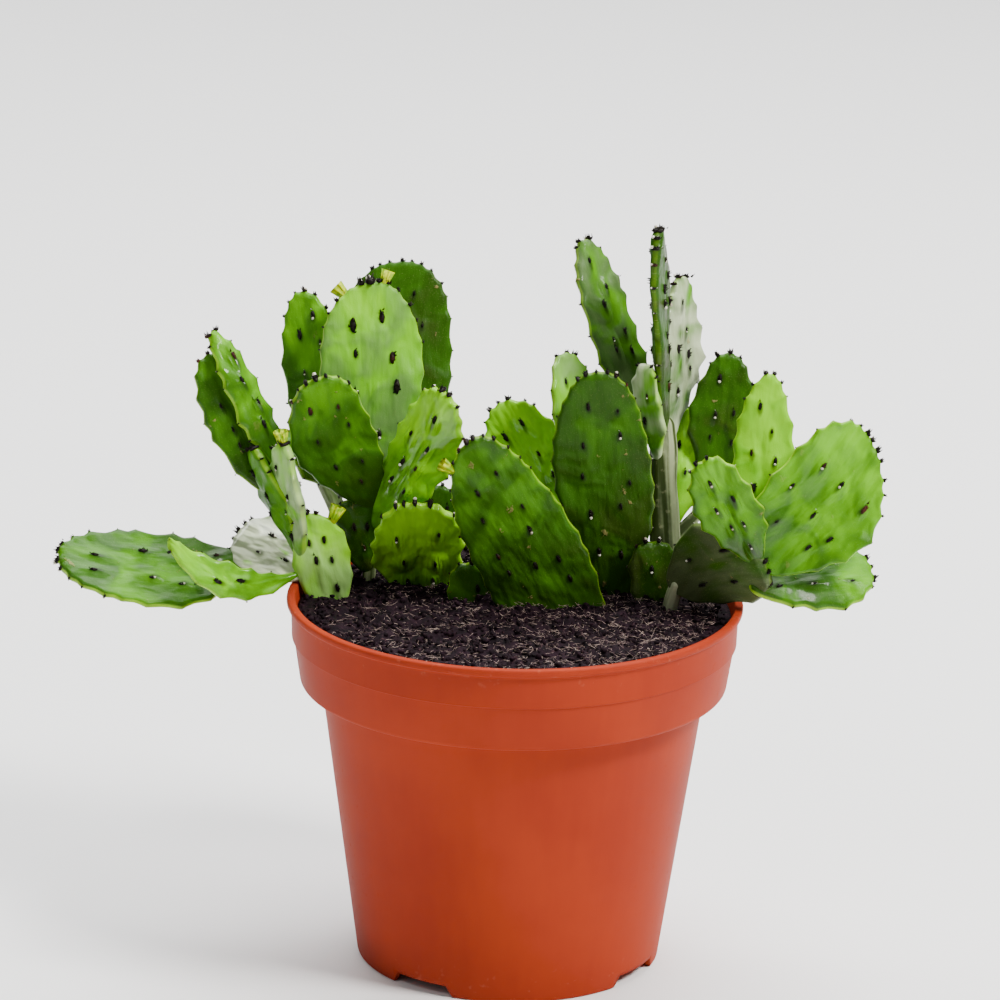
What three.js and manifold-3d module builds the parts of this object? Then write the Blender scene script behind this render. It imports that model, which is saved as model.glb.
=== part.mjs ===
// Potted paddle cactus: a plastic nursery pot filled with peat, and seven rooted plants of flat pads.
// Millimetres, +Z up, the front of the pot towards -Y. The plants are laid out around the pot's axis, and
// the finished group is shifted so that the origin lies under the middle of the whole object, on the floor.
import * as THREE from "three";
import { mergeVertices } from "three/addons/utils/BufferGeometryUtils.js";
import Module from "manifold-3d";

// Driving dimensions of the pot.
const POT_SIDES = 40;
const POT_HEIGHT = 123;
const LIP_RADIUS = 75;
const COLLAR_RADIUS = 73.2;
const COLLAR_STEP_HEIGHT = 109.4;
const COLLAR_STEP = 0.7;
const COLLAR_FOOT_RADIUS = 70.2;
const COLLAR_FOOT_HEIGHT = 94.2;
const BODY_TOP_RADIUS = 63.4;
const BASE_RADIUS = 50.2;
const WALL = 1.4;
const FLOOR_UNDERSIDE = 5;
const FOOT_RING_WIDTH = 2.4;

// Driving dimensions of the four notches in the foot ring and the holes in the floor.
const NOTCH_ANGLES = [-34, 58, 146, 238];
const NOTCH_WIDTH = 25;
const NOTCH_HEIGHT = 4;
const NOTCH_SLOPE = 3;
const NOTCH_REACH = 12;
const NOTCH_START = 6;
const DRAIN_RADIUS = 5;
const DRAIN_CIRCLE = 38;
const DRAIN_SIDES = 12;

// Driving dimensions of the soil.
const SOIL_TOP = 118.5;
const SOIL_RELIEF = 0.7;
const SOIL_RINGS = [58, 48, 38, 28, 18, 9];
const LEVEL_SOIL_RADIUS = 60;
const CLODS = 46;
const CLOD_REACH = 62;
const CLOD_RADII = [3.4, 4.6, 2.8, 4];
const CLOD_FLATNESS = 0.6;
const CLOD_SINK = 0.15;
const GAP = 0.3;
const HOLE_GROWTH = 0.35;

// Driving dimensions that all the pads share.
const PAD_THICKNESS = 4.2;
const PAD_EDGE = 1.6;
const PAD_NECK = 0.5;
const PAD_FULLNESS = 0.85;
const SCALLOP = 0.8;
const SINK = 3;
const STEM_SIDES = 8;

// A pad is drawn with more points when it is broad. The rest are shares of its length, width or
// thickness: where the middle point of a face is, how small the ring around it is, how thick the pad is at
// its shoulder and at that ring, how much its neck narrows it, and how the shoulder closes on the foot.
const BROAD_PAD = 18;
const BROAD_SIDES = 18;
const NARROW_SIDES = 14;
const PAD_MIDDLE = 0.54;
const RING_SIZE = 0.5;
const SHOULDER_THICKNESS = 0.82;
const RING_THICKNESS = 0.98;
const NECK_LOSS = 0.19;
const FOOT_INSET = 0.35;
const FOOT_LENGTH = 0.3;

// Driving dimensions of the buds on the rims of a few pads.
const BUD_WIDTH = 3.2;
const BUD_FOOT = 1.8;
const BUD_LENGTH = 4.4;
const BUD_SINK = 1.2;
const BUD_SIDES = 6;

// Driving dimensions of the tufts on the areoles. They stand on the part of a plant clear of the soil.
const SPIKE_RADIUS = 0.9;
const SPIKE_HEIGHT = 1.3;
const SPIKE_ROOT = 0.6;
const RIM_SPIKE_REACH = 0.96;
const CLEAR_OF_SOIL = 5;

const wasm = await Module();
wasm.setup();

const radians = THREE.MathUtils.degToRad;
const vector = (x, y, z) => new THREE.Vector3(x, y, z);

// A closed three.js geometry as a solid that can be joined and cut.
function solid(geometry) {
  const bare = geometry.clone();
  bare.deleteAttribute("normal");
  bare.deleteAttribute("uv");
  const merged = mergeVertices(bare, 1e-4);
  return new wasm.Manifold(
    new wasm.Mesh({
      numProp: 3,
      vertProperties: merged.attributes.position.array,
      triVerts: new Uint32Array(merged.index.array),
    }),
  );
}

// The solid's surface as a three.js geometry.
function surface(body) {
  const { vertProperties, triVerts } = body.getMesh();
  const geometry = new THREE.BufferGeometry();
  geometry.setAttribute("position", new THREE.BufferAttribute(vertProperties, 3));
  geometry.setIndex(new THREE.BufferAttribute(triVerts, 1));
  geometry.computeVertexNormals();
  return geometry;
}

function named(name, body, colour, roughness) {
  const material = new THREE.MeshStandardMaterial({ color: colour, roughness, metalness: 0 });
  const mesh = new THREE.Mesh(surface(body), material);
  mesh.name = name;
  return mesh;
}

// A profile of [radius, height] points from the axis back to the axis, spun about Z.
function spun(profile) {
  const points = profile.map(([radius, height]) => new THREE.Vector2(radius, height));
  return new THREE.LatheGeometry(points, POT_SIDES).rotateX(Math.PI / 2);
}

// ---- Pot ----

// Inner radius of the body and of the collar at a height.
function bodyInside(height) {
  const taper = (BODY_TOP_RADIUS - BASE_RADIUS) / COLLAR_FOOT_HEIGHT;
  return BASE_RADIUS + taper * height - WALL;
}

function collarInside(height) {
  const taper = (COLLAR_RADIUS - COLLAR_FOOT_RADIUS) / (POT_HEIGHT - COLLAR_FOOT_HEIGHT);
  return COLLAR_FOOT_RADIUS + taper * (height - COLLAR_FOOT_HEIGHT) - WALL;
}

const FLOOR_TOP = FLOOR_UNDERSIDE + WALL;
const LEDGE_TOP = COLLAR_FOOT_HEIGHT + WALL;

function potWall() {
  const stepRadius = COLLAR_RADIUS - COLLAR_STEP;
  const ringInside = BASE_RADIUS - FOOT_RING_WIDTH;
  return spun([
    [0, FLOOR_UNDERSIDE],
    [ringInside, FLOOR_UNDERSIDE],
    [ringInside, 0],
    [BASE_RADIUS - 0.5, 0],
    [BASE_RADIUS, 0.7],
    [BODY_TOP_RADIUS, COLLAR_FOOT_HEIGHT],
    [COLLAR_FOOT_RADIUS - 0.6, COLLAR_FOOT_HEIGHT],
    [COLLAR_FOOT_RADIUS, COLLAR_FOOT_HEIGHT + 0.8],
    [stepRadius, COLLAR_STEP_HEIGHT],
    [COLLAR_RADIUS, COLLAR_STEP_HEIGHT + 0.3],
    [COLLAR_RADIUS + 0.3, POT_HEIGHT - 2.6],
    [LIP_RADIUS, POT_HEIGHT - 2],
    [LIP_RADIUS, POT_HEIGHT - 0.8],
    [LIP_RADIUS - 0.8, POT_HEIGHT],
    [LIP_RADIUS - 2.7, POT_HEIGHT],
    [collarInside(LEDGE_TOP), LEDGE_TOP],
    [bodyInside(LEDGE_TOP), LEDGE_TOP],
    [bodyInside(FLOOR_TOP), FLOOR_TOP],
    [0, FLOOR_TOP],
  ]);
}

// A wedge with sloped sides that cuts one notch in the foot ring, from outside the base to its floor.
function notch(angle) {
  const half = NOTCH_WIDTH / 2;
  const outline = new THREE.Shape();
  outline.moveTo(-half, -1);
  outline.lineTo(half, -1);
  outline.lineTo(half - NOTCH_SLOPE, NOTCH_HEIGHT);
  outline.lineTo(NOTCH_SLOPE - half, NOTCH_HEIGHT);
  const wedge = new THREE.ExtrudeGeometry(outline, { depth: NOTCH_REACH, bevelEnabled: false });
  wedge.rotateX(Math.PI / 2);
  wedge.translate(0, NOTCH_START - BASE_RADIUS, 0);
  return solid(wedge.rotateZ(radians(angle)));
}

function drain(x, y) {
  const plug = new THREE.CylinderGeometry(DRAIN_RADIUS, DRAIN_RADIUS, 3 * WALL, DRAIN_SIDES);
  plug.rotateX(Math.PI / 2);
  return solid(plug.translate(x, y, FLOOR_UNDERSIDE + WALL / 2));
}

function makePot() {
  let body = solid(potWall());
  body = body.subtract(drain(0, 0));
  for (const angle of NOTCH_ANGLES) {
    const place = vector(0, -DRAIN_CIRCLE, 0).applyAxisAngle(vector(0, 0, 1), radians(angle));
    body = body.subtract(notch(angle)).subtract(drain(place.x, place.y));
  }
  return body;
}

// ---- Pads and stems ----

// A pad springs from `from` and ends at `to`. `turn` is the angle, about its own axis, that its face is
// turned from the front of the pot. `bend` bows it along its length, away from the face, `cup` lifts its
// side edges towards the face, and `sway` bows it sideways, all in mm. Points of the pad are placed by how
// far along it they are, from 0 to 1, how far across in mm, and how far out of its middle plane in mm.
function padFrame(pad, grow) {
  const start = vector(...pad.from);
  const along = vector(...pad.to).sub(start).normalize();
  start.addScaledVector(along, -SINK - grow);
  const length = vector(...pad.to).sub(start).length() + grow;
  const front = vector(0, -1, 0).addScaledVector(along, along.y).normalize();
  const half = pad.width / 2 + grow;
  const { turn = 0, bend = 0, cup = 0, sway = 0 } = pad;
  const face = front.applyAxisAngle(along, radians(turn));
  const side = along.clone().cross(face);
  const place = (u, across, out) => {
    const arch = 4 * u * (1 - u);
    const rise = cup * (across / half) ** 2 - bend * arch;
    const point = start.clone().addScaledVector(along, u * length);
    return point.addScaledVector(side, across + sway * arch).addScaledVector(face, out + rise);
  };
  return { place, length, half };
}

// A place on the rim, `angle` round from the foot: a full ellipse that narrows to the foot.
function rimSpot(angle, half, neck) {
  const u = (1 - Math.cos(angle)) / 2;
  const sine = Math.sin(angle);
  const reach = Math.sign(sine) * Math.abs(sine) ** PAD_FULLNESS;
  return [u, (half * reach * (1 - neck * (1 - u) ** 2)) / (1 - NECK_LOSS * neck)];
}

// The outline of a pad, `sides` points round from its foot, pushed out at every other point, where an
// areole sits on the rim, and drawn in by `inset`.
function padOutline(sides, length, half, neck, inset) {
  const points = [];
  for (let k = 0; k < sides; k++) {
    const angle = (2 * Math.PI * k) / sides;
    const [u, across] = rimSpot(angle, half, neck);
    const bump = k % 2 ? SCALLOP * Math.min(1, 2 * u) : 0;
    const radial = bump - inset * (FOOT_INSET + (1 - FOOT_INSET) * Math.min(1, u / FOOT_LENGTH));
    points.push([u - (radial * Math.cos(angle)) / length, across + radial * Math.sin(angle)]);
  }
  return points;
}

// The pad's closed surface: a rim line, then a shoulder, a mid ring and a middle point on each face. It
// also gives the places where areoles stand, each with the way it points.
function padMesh(pad, grow = 0) {
  const { place, length, half } = padFrame(pad, grow);
  const thick = (pad.thick ?? PAD_THICKNESS) / 2 + grow;
  const sides = pad.width > BROAD_PAD ? BROAD_SIDES : NARROW_SIDES;
  const neck = pad.neck ?? PAD_NECK;
  const rim = padOutline(sides, length, half, neck, 0);
  const shoulder = padOutline(sides, length, half, neck, PAD_EDGE);
  const shrink = ([u, across]) => [PAD_MIDDLE + (u - PAD_MIDDLE) * RING_SIZE, across * RING_SIZE];
  const middle = rim.filter((_, k) => k % 2 === 0).map(shrink);
  const points = rim.map(([u, across]) => place(u, across, 0));
  const faces = [];
  const areoles = [];
  const add = (ring, out) => points.push(...ring.map(([u, across]) => place(u, across, out))) - ring.length;
  for (const way of [1, -1]) {
    const tri = (a, b, c) => faces.push(...(way > 0 ? [a, b, c] : [a, c, b]));
    const outer = add(shoulder, way * thick * SHOULDER_THICKNESS);
    const inner = add(middle, way * thick * RING_THICKNESS);
    const centre = add([[PAD_MIDDLE, 0]], way * thick);
    for (let k = 0; k < sides; k++) {
      const next = (k + 1) % sides;
      tri(k, next, outer + k);
      tri(next, outer + next, outer + k);
    }
    for (let j = 0; j < middle.length; j++) {
      const after = inner + ((j + 1) % middle.length);
      const odd = outer + 2 * j + 1;
      tri(odd - 1, odd, inner + j);
      tri(odd, outer + ((2 * j + 2) % sides), after);
      tri(odd, after, inner + j);
      tri(inner + j, after, centre);
      if (j % 2 === 1) {
        areoles.push(middleOf(points, inner + j, after, centre, way));
      }
    }
  }
  for (let k = 5; k < sides - 3; k += 4) {
    const [u, across] = rim[k];
    const at = place(u, across * RIM_SPIKE_REACH, 0);
    areoles.push({ at, out: at.clone().sub(place(PAD_MIDDLE, 0, 0)).normalize() });
  }
  const geometry = new THREE.BufferGeometry().setFromPoints(points);
  geometry.setIndex(faces);
  return { geometry, areoles };
}

// The middle of one triangle and the way it faces.
function middleOf(points, a, b, c, way) {
  const at = points[a].clone().add(points[b]).add(points[c]).divideScalar(3);
  const out = points[b].clone().sub(points[a]).cross(points[c].clone().sub(points[a])).normalize();
  return { at, out: out.multiplyScalar(way) };
}

// A shape made along Y, turned to point `out` and moved to `at`.
function planted(shape, { at, out }) {
  shape.applyQuaternion(new THREE.Quaternion().setFromUnitVectors(vector(0, 1, 0), out));
  return solid(shape.translate(at.x, at.y, at.z));
}

// One areole's tuft: a short three-sided spike, its foot sunk in the pad.
function spike(areole) {
  const cone = new THREE.ConeGeometry(SPIKE_RADIUS, SPIKE_HEIGHT * 2, 3);
  return planted(cone.translate(0, SPIKE_HEIGHT * (1 - SPIKE_ROOT), 0), areole);
}

// A bud on a pad's rim, `degrees` round from the foot: a short funnel with its wide end out.
function bud(pad, degrees) {
  const { place, half } = padFrame(pad, 0);
  const [u, across] = rimSpot(radians(degrees), half, pad.neck ?? PAD_NECK);
  const at = place(u, across, 0);
  const out = at.clone().sub(place(PAD_MIDDLE, 0, 0)).normalize();
  const funnel = new THREE.CylinderGeometry(BUD_WIDTH / 2, BUD_FOOT / 2, BUD_LENGTH, BUD_SIDES);
  return planted(funnel.translate(0, BUD_LENGTH / 2 - BUD_SINK, 0), { at, out });
}

// A round or flattened woody stem between two points, `top` times as wide at its upper end.
function stemSolid(stem, grow = 0) {
  const from = vector(...stem.from);
  const along = vector(...stem.to).sub(from);
  const length = along.length() + 2 * SINK + 2 * grow;
  const radius = stem.width / 2 + grow;
  const rod = new THREE.CylinderGeometry(radius * (stem.top ?? 1), radius, length, STEM_SIDES);
  rod.scale(1, 1, (stem.depth ?? stem.width) / stem.width);
  const way = along.clone().normalize();
  rod.applyQuaternion(new THREE.Quaternion().setFromUnitVectors(vector(0, 1, 0), way));
  const mid = from.addScaledVector(along, 0.5);
  return solid(rod.translate(mid.x, mid.y, mid.z));
}

// A whole plant as one solid: its stems, pads and buds joined, with a spike on every areole above the soil.
function grown(plant) {
  const pieces = plant.stems.map((stem) => stemSolid(stem));
  for (const pad of plant.pads) {
    const { geometry, areoles } = padMesh(pad);
    pieces.push(solid(geometry));
    pieces.push(...areoles.filter(({ at }) => at.z > SOIL_TOP + CLEAR_OF_SOIL).map(spike));
    pieces.push(...(pad.buds ?? []).map((degrees) => bud(pad, degrees)));
  }
  return wasm.Manifold.union(pieces);
}

// The same plant a little larger and without spikes, which cuts its hole in the soil.
function holeFor(plant) {
  const pieces = plant.stems.map((stem) => stemSolid(stem, HOLE_GROWTH));
  pieces.push(...plant.pads.map((pad) => solid(padMesh(pad, HOLE_GROWTH).geometry)));
  return wasm.Manifold.union(pieces);
}

// ---- The seven plants ----

const LEFT_PLANT = {
  stems: [
    { from: [-49, 29, 92], to: [-49, 29, 125], width: 4.6 },
    { from: [-54, 31, 128], to: [-64, 38, 150], width: 6 },
  ],
  pads: [
    { from: [-50, 29, 124], to: [-53, 28, 147], width: 17, thick: 6 },
    { from: [-48, 27, 147], to: [-65, 8, 195], width: 28, turn: 8, sway: -3, cup: 1 },
    { from: [-50, 31, 146], to: [-49, 48, 217], width: 34, turn: 12, bend: -2, buds: [168] },
    { from: [-45, 34, 144], to: [-42, 62, 219], width: 42, turn: 5, bend: 2, buds: [222] },
    { from: [-64, 38, 149], to: [-72, 58, 209], width: 19, turn: -5, cup: 1 },
    { from: [-46, 26, 140], to: [-24, 12, 190], width: 22, turn: -25, sway: 2, cup: -1.5 },
    { from: [-64, 38, 150], to: [-77, 30, 167], width: 12, turn: 60 },
  ],
};

const FRONT_LEFT_PLANT = {
  stems: [{ from: [-54, 8, 94], to: [-61, 9, 118], width: 5 }],
  pads: [
    { from: [-61, 9, 116], to: [-68, 12, 146], width: 19, turn: 8, neck: 0.3, buds: [150] },
    { from: [-71, 10, 134], to: [-77, 7, 171], width: 14, turn: -50, cup: 2, buds: [180] },
    { from: [-72, 11, 134], to: [-87, 14, 167], width: 13, turn: -60 },
    { from: [-79, 17, 161], to: [-101.5, 30, 202], width: 13, turn: 42, bend: -1.5 },
    { from: [-84, 17, 155], to: [-103, 30, 194], width: 20, turn: 20 },
    { from: [-67, 13, 127], to: [-92, 25, 135], width: 25, turn: 50 },
    { from: [-71.5, 11.5, 128], to: [-113, -10, 142], width: 11, turn: 30, sway: -9.5, cup: 1.5, neck: 0.8 },
    { from: [-89, 17, 127], to: [-149.5, -1, 133], width: 31, turn: 55, sway: -4.5, cup: 1.5 },
  ],
};

const ROUND_PLANT = {
  stems: [{ from: [-32, 28, 94], to: [-32, 28, 118], width: 5 }],
  pads: [
    { from: [-32, 28, 115], to: [-33, 9, 151], width: 30, neck: 0.3, cup: 1 },
    { from: [-30, 31, 118], to: [-25, 36, 149], width: 15 },
    { from: [-34, 31, 116], to: [-43, 36, 132], width: 11 },
  ],
};

const SMALL_PAD = {
  stems: [],
  pads: [{ from: [-14, 9.5, 104], to: [-16, 9, 131], width: 14 }],
};

const LEANING_PAD = {
  stems: [],
  pads: [{ from: [26, 10, 92], to: [-17.5, -8, 177.5], width: 34.5, neck: -0.1, cup: -1, buds: [217] }],
};

const MIDDLE_PLANT = {
  stems: [{ from: [33, 22, 92], to: [33, 22, 118], width: 6 }],
  pads: [
    { from: [33, 22, 114], to: [25, 10, 197], width: 31.5, bend: -1.5 },
    { from: [24, 22, 130], to: [-6, 36, 178], width: 24, cup: 2, bend: 2, buds: [230] },
    { from: [19, 17, 162], to: [15, 32, 197], width: 16, turn: 35, cup: 2 },
  ],
};

const RIGHT_PLANT = {
  stems: [
    { from: [46, 13, 92], to: [46, 13, 118], width: 5 },
    { from: [49.5, 17, 130], to: [47.5, 32, 174], width: 10.5, depth: 6.5, top: 0.75 },
    { from: [50, 20, 135], to: [68, 32, 152], width: 4 },
    { from: [48, 13, 104], to: [53, 4, 127], width: 5 },
  ],
  pads: [
    { from: [46, 12, 115], to: [47, 15, 132], width: 13, thick: 5 },
    { from: [46, 27, 165], to: [41, 21, 197], width: 10, turn: -30, cup: 2 },
    { from: [45.5, 33, 170], to: [20.5, 48, 231.5], width: 18.5, turn: 38, sway: -2.5, cup: 1.5 },
    { from: [48, 32, 173], to: [44, 22, 242], width: 20, turn: 80 },
    { from: [50, 34, 170], to: [53, 50, 219], width: 18, turn: 45, cup: 2.5 },
    { from: [50, 23, 140], to: [57, 44, 176], width: 16 },
    { from: [66, 31, 150], to: [68, 40, 196], width: 21, cup: 1 },
    { from: [53, 4, 128], to: [81, -13, 141], width: 30, thick: 6, sway: -3 },
    { from: [78, -12, 142], to: [60, -18, 176], width: 19, cup: 1.5 },
    { from: [79, -12, 142], to: [114.5, -2, 178.5], width: 38.5, sway: 1.5, neck: 0.25, cup: 2.5 },
    { from: [79, -10, 132], to: [116, 5, 134], width: 24, turn: -50, cup: -1.5 },
    { from: [77, -7, 141], to: [82, 8, 198], width: 18, bend: 1.5 },
  ],
};

const PLANTS = {
  left_plant: [LEFT_PLANT, 0x5d8f1c],
  front_left_plant: [FRONT_LEFT_PLANT, 0x8fb83a],
  round_plant: [ROUND_PLANT, 0x4e8312],
  small_pad: [SMALL_PAD, 0x3f6c10],
  leaning_pad: [LEANING_PAD, 0x43700f],
  middle_plant: [MIDDLE_PLANT, 0x3f720f],
  right_plant: [RIGHT_PLANT, 0x64962a],
};

// ---- Soil ----

// Height of the soil's surface: gently heaped and lumpy, level at the wall.
function soilHeight(x, y) {
  const lumps = Math.sin(x * 0.31 + 1.3) * Math.cos(y * 0.27) + 0.6 * Math.sin(x * 0.13 - y * 0.41);
  return SOIL_TOP + SOIL_RELIEF * lumps;
}

// Clods of peat, spread evenly over the surface in a spiral and half sunk in it, each turned its own way.
function clods() {
  const goldenAngle = Math.PI * (3 - Math.sqrt(5));
  return Array.from({ length: CLODS }, (_, k) => {
    const away = CLOD_REACH * Math.sqrt((k + 0.5) / CLODS);
    const [x, y] = [away * Math.cos(k * goldenAngle), away * Math.sin(k * goldenAngle)];
    const radius = CLOD_RADII[k % CLOD_RADII.length];
    const clod = new THREE.IcosahedronGeometry(radius, 0).rotateZ(k).scale(1, 1, CLOD_FLATNESS);
    return solid(clod.translate(x, y, soilHeight(x, y) - CLOD_SINK * radius));
  });
}

function makeSoil() {
  const skirt = [
    [0, FLOOR_TOP + GAP],
    [bodyInside(FLOOR_TOP) - GAP, FLOOR_TOP + GAP],
    [bodyInside(LEDGE_TOP) - GAP, LEDGE_TOP + GAP],
    [collarInside(LEDGE_TOP) - GAP, LEDGE_TOP + GAP],
    [collarInside(SOIL_TOP) - GAP, SOIL_TOP],
  ];
  const rings = SOIL_RINGS.map((radius) => [radius, SOIL_TOP]);
  const geometry = spun([...skirt, ...rings, [0, SOIL_TOP]]);
  const place = geometry.attributes.position;
  for (let i = 0; i < place.count; i++) {
    const [x, y, z] = [place.getX(i), place.getY(i), place.getZ(i)];
    if (z === SOIL_TOP && Math.hypot(x, y) < LEVEL_SOIL_RADIUS) {
      place.setZ(i, soilHeight(x, y));
    }
  }
  let body = wasm.Manifold.union([solid(geometry), ...clods()]);
  for (const [plant] of Object.values(PLANTS)) {
    body = body.subtract(holeFor(plant));
  }
  return body;
}

// ---- The whole object ----

const object = new THREE.Group();
object.add(named("pot", makePot(), 0xb94a2c, 0.45));
object.add(named("soil", makeSoil(), 0x2c1f22, 0.95));
for (const [name, [plant, colour]] of Object.entries(PLANTS)) {
  object.add(named(name, grown(plant), colour, 0.35));
}

const bounds = new THREE.Box3().setFromObject(object);
object.position.set(-(bounds.min.x + bounds.max.x) / 2, -(bounds.min.y + bounds.max.y) / 2, -bounds.min.z);

export default object;
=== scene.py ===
import math
import random

import bmesh
import bpy
import numpy as np
from mathutils import Matrix, Vector, noise


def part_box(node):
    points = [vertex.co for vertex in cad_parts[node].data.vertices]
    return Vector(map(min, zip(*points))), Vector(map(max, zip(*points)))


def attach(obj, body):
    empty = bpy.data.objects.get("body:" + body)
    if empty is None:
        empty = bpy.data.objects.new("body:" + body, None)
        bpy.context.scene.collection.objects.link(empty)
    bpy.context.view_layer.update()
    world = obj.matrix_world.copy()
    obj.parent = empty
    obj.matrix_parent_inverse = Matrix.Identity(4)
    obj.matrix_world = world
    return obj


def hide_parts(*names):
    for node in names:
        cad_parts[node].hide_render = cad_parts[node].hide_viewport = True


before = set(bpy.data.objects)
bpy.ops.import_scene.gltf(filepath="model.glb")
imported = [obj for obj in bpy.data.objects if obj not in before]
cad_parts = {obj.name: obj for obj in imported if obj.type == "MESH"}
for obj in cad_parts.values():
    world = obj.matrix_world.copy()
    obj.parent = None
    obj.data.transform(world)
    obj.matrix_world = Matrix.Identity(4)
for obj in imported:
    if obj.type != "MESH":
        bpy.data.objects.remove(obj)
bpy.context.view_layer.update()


# ---- The photograph's view ----
# Taken from 1.7 m in front of the pot and 0.7 m above its foot, looking down 17 degrees through a long lens.
# Places on the object are counted from the pot's own axis, which is the middle of its box.

pot_low, pot_high = (Vector(corner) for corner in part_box("pot"))
AXIS = Vector(((pot_low.x + pot_high.x) / 2, (pot_low.y + pot_high.y) / 2, 0))

VIEW_FROM = AXIS + Vector((0, -1.7055, 0.6826))
VIEW_YAW = math.radians(-0.189)
VIEW_PITCH = math.radians(-17.153)
VIEW_ROLL = math.radians(1.222)
VIEW_LENS = 196.7
FILM_WIDTH = 36
VIEW_DEPTH = 20


def placed(name, data):
    """A new object in the scene."""
    thing = bpy.data.objects.new(name, data)
    bpy.context.collection.objects.link(thing)
    return thing


forward = Vector((math.sin(VIEW_YAW), math.cos(VIEW_YAW), math.tan(VIEW_PITCH)))
lens = bpy.data.cameras.new("view")
lens.lens = VIEW_LENS
lens.sensor_width = FILM_WIDTH
lens.clip_end = VIEW_DEPTH
camera = placed("view", lens)
camera.matrix_world = (
    Matrix.Translation(VIEW_FROM)
    @ forward.to_track_quat("-Z", "Y").to_matrix().to_4x4()
    @ Matrix.Rotation(VIEW_ROLL, 4, "Z")
)
bpy.context.scene.camera = camera


# ---- Pot ----
# A thin injection-moulded nursery pot in terracotta-coloured plastic: rolled lip, deep collar with one step,
# tapered body, and a foot ring with four notches round a raised floor with drain holes.

LIP_RADIUS = 0.075
LIP_DEPTH = 0.0022
LIP_SLOPE = 0.0007
LIP_WIDTH = 0.0028
POT_HEIGHT = 0.123
COLLAR_RADIUS = 0.0732
COLLAR_STEP = 0.0007
COLLAR_STEP_HEIGHT = 0.1094
COLLAR_STEP_RISE = 0.0003
COLLAR_FLARE = 0.0003
COLLAR_FOOT_RADIUS = 0.0702
COLLAR_FOOT_HEIGHT = 0.0942
BODY_TOP_RADIUS = 0.0634
BASE_RADIUS = 0.0502
POT_WALL = 0.0014
FLOOR_HEIGHT = 0.005
FOOT_RING = 0.0024
FOOT_BAND = 0.0055
NOTCH_ANGLES = (-34, 58, 146, 238)
NOTCH_WIDTH = 0.025
NOTCH_TOP_WIDTH = 0.019
NOTCH_HEIGHT = 0.004
NOTCH_REACH = 0.012
DRAIN_RADIUS = 0.005
DRAIN_CIRCLE = 0.038
DRAIN_SIDES = 32
CUT_DEPTH = 0.006
CUT_SPARE = 0.001
POT_STEPS = 160
SHARP_ANGLE = 38
LIP_WEAR = 0.012
FOOT_WEAR = 0.018
TOUCHING = 1e-6


def rounded(corners, steps=4):
    """The (radius, height) outline through corners of (radius, height, how far back it is rounded)."""
    outline = []
    for k, (radius, height, back) in enumerate(corners):
        corner = Vector((radius, height))
        if back == 0:
            outline.append(corner)
            continue
        before = Vector(corners[k - 1][:2])
        after = Vector(corners[k + 1][:2])
        start = corner + (before - corner).normalized() * back
        end = corner + (after - corner).normalized() * back
        for step in range(steps + 1):
            t = step / steps
            outline.append(start.lerp(corner, t).lerp(corner.lerp(end, t), t))
    return outline


def spun(outline, steps):
    """A bmesh of the outline spun round the pot's axis. Its two ends lie on the axis, so it is closed."""
    bm = bmesh.new()
    row = [bm.verts.new(AXIS + Vector((point.x, 0, point.y))) for point in outline]
    edges = [bm.edges.new(pair) for pair in zip(row, row[1:])]
    bmesh.ops.spin(
        bm, geom=row + edges, cent=AXIS, axis=(0, 0, 1), angle=2 * math.pi, steps=steps, use_merge=True
    )
    bmesh.ops.remove_doubles(bm, verts=bm.verts, dist=TOUCHING)
    bmesh.ops.recalc_face_normals(bm, faces=bm.faces)
    return bm


def as_mesh(name, bm):
    """The bmesh as a mesh."""
    mesh = bpy.data.meshes.new(name)
    bm.to_mesh(mesh)
    bm.free()
    return mesh


def made(name, bm, materials, sharp=None):
    """The bmesh as a smooth-shaded object that rides with the pot."""
    mesh = as_mesh(name, bm)
    for material in materials:
        mesh.materials.append(material)
    mesh.shade_smooth()
    if sharp:
        mesh.set_sharp_from_angle(angle=math.radians(sharp))
    piece = placed(name, mesh)
    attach(piece, "root")
    return piece


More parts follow.
